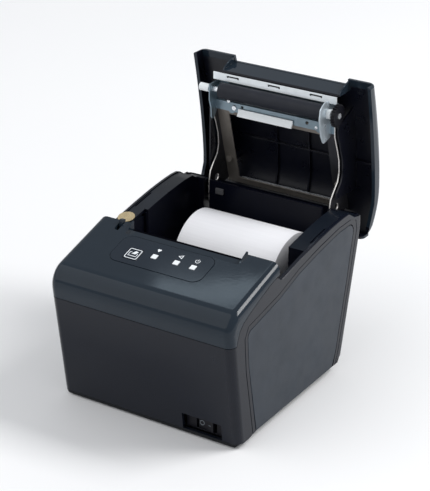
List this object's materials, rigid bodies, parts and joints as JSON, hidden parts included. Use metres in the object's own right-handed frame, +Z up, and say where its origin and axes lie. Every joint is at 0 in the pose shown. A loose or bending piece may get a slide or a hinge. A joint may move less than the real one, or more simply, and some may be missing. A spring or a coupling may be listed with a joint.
{
  "type": "receipt printer",
  "caption": "Desktop thermal receipt printer with its hinged paper cover swung open, drop-in roll, platen roller on the cover and cutter behind the front cover.",
  "frame": {"origin": "middle of the open printer's footprint, on the surface that its feet stand on", "axes": "+X to the printer's right seen from the front, +Y to its back, +Z up"},
  "size_m": [0.145, 0.2024, 0.2049],
  "materials": {
    "cover_gloss": "gloss",
    "case_gloss": "gloss",
    "panel_satin": "satin",
    "inner_plastic": "fine texture",
    "base_plastic": "fine texture",
    "rubber": "matte",
    "platen_rubber": "ground",
    "zinc_steel": "zinc plated sheet",
    "bright_steel": "polished",
    "aluminium": "extruded",
    "white_plastic": "moulded",
    "black_plastic": "moulded",
    "paper": "coated thermal paper",
    "card": "grey board",
    "film": "printed film",
    "lamp": "diffusing",
    "seal": "sticker",
    "board_green": "solder resist",
    "ceramic": "ground"
  },
  "bodies": {
    "base": {"base_tray": "base_plastic", "main_housing": "case_gloss", "left_side_panel": "panel_satin", "right_side_panel": "panel_satin", "front_cover": "cover_gloss", "control_film": "film", "lamp_lens_1": "lamp", "lamp_lens_2": "lamp", "lamp_lens_3": "lamp", "control_board": "board_green", "feed_switch": "black_plastic", "switch_body": "black_plastic", "inner_frame": "inner_plastic", "mechanism_frame": "zinc_steel", "thermal_head": "ceramic", "head_heatsink": "aluminium", "head_spring_1": "bright_steel", "head_spring_2": "bright_steel", "paper_motor": "zinc_steel", "paper_sensor": "black_plastic", "cutter_case": "zinc_steel", "cutter_motor": "zinc_steel", "main_board": "board_green", "dc_inlet": "zinc_steel", "drawer_socket": "zinc_steel", "network_socket": "zinc_steel", "usb_socket": "zinc_steel", "near_end_sensor": "black_plastic", "lid_switch": "black_plastic", "rubber_foot_1": "rubber", "rubber_foot_2": "rubber", "rubber_foot_3": "rubber", "rubber_foot_4": "rubber", "tamper_seal": "seal"},
    "lid": {"lid_shell": "cover_gloss", "lid_frame": "zinc_steel", "hinge_arm_left": "zinc_steel", "hinge_arm_right": "zinc_steel", "hinge_pin_left": "bright_steel", "hinge_pin_right": "bright_steel", "lid_screw_1": "bright_steel", "lid_screw_2": "bright_steel", "lid_screw_3": "bright_steel", "lid_screw_4": "bright_steel", "platen_bracket": "zinc_steel", "fixed_blade": "bright_steel", "paper_guide": "white_plastic", "platen_bush_left": "white_plastic", "platen_bush_right": "white_plastic"},
    "platen": {"platen_roller": "platen_rubber", "platen_shaft": "bright_steel", "platen_gear": "black_plastic"},
    "roll": {"paper_roll": "paper", "paper_core": "card"},
    "button": {"feed_button": "film"},
    "rocker": {"power_rocker": "black_plastic"},
    "idler": {"idler_gear": "white_plastic"},
    "pinion": {"motor_pinion": "white_plastic"},
    "blade": {"cutter_blade": "bright_steel"},
    "lever": {"release_lever": "cover_gloss"}
  },
  "joints": [
    {"name": "lid_hinge", "type": "hinge", "parent": "base", "child": "lid", "pos_m": [0, 0.06742, 0.09825], "axis": [1, 0, 0], "range_deg": [0, 90]},
    {"name": "platen_spin", "type": "hinge", "parent": "lid", "child": "platen", "pos_m": [0, 0.06607, 0.1838], "axis": [1, 0, 0], "continuous": true},
    {"name": "roll_spin", "type": "hinge", "parent": "base", "child": "roll", "pos_m": [0, 0.02467, 0.0745], "axis": [1, 0, 0], "continuous": true},
    {"name": "feed_button_press", "type": "slide", "parent": "base", "child": "button", "axis": [0, 0.2873, -0.9578], "range_m": [0, 0.0012], "stiffness_N_per_m": 300},
    {"name": "power_rocker_tilt", "type": "hinge", "parent": "base", "child": "rocker", "pos_m": [0.0444, -0.08223, 0.0107], "axis": [0, 0, 1], "range_deg": [0, 12]},
    {"name": "idler_spin", "type": "hinge", "parent": "base", "child": "idler", "pos_m": [0, -0.02223, 0.0786], "axis": [1, 0, 0], "continuous": true},
    {"name": "pinion_spin", "type": "hinge", "parent": "base", "child": "pinion", "pos_m": [0, -0.02456, 0.06538], "axis": [1, 0, 0], "continuous": true},
    {"name": "cutter_stroke", "type": "slide", "parent": "base", "child": "blade", "axis": [0, 1, 0], "range_m": [0, 0.0095]},
    {"name": "release_lever_tilt", "type": "hinge", "parent": "base", "child": "lever", "pos_m": [0, -0.04263, 0.0935], "axis": [1, 0, 0], "range_deg": [0, 10], "stiffness_Nm_per_rad": 0.03}
  ],
  "couplings": [
    {"joint": "pinion_spin", "follows": "idler_spin", "ratio": -2.8}
  ]
}
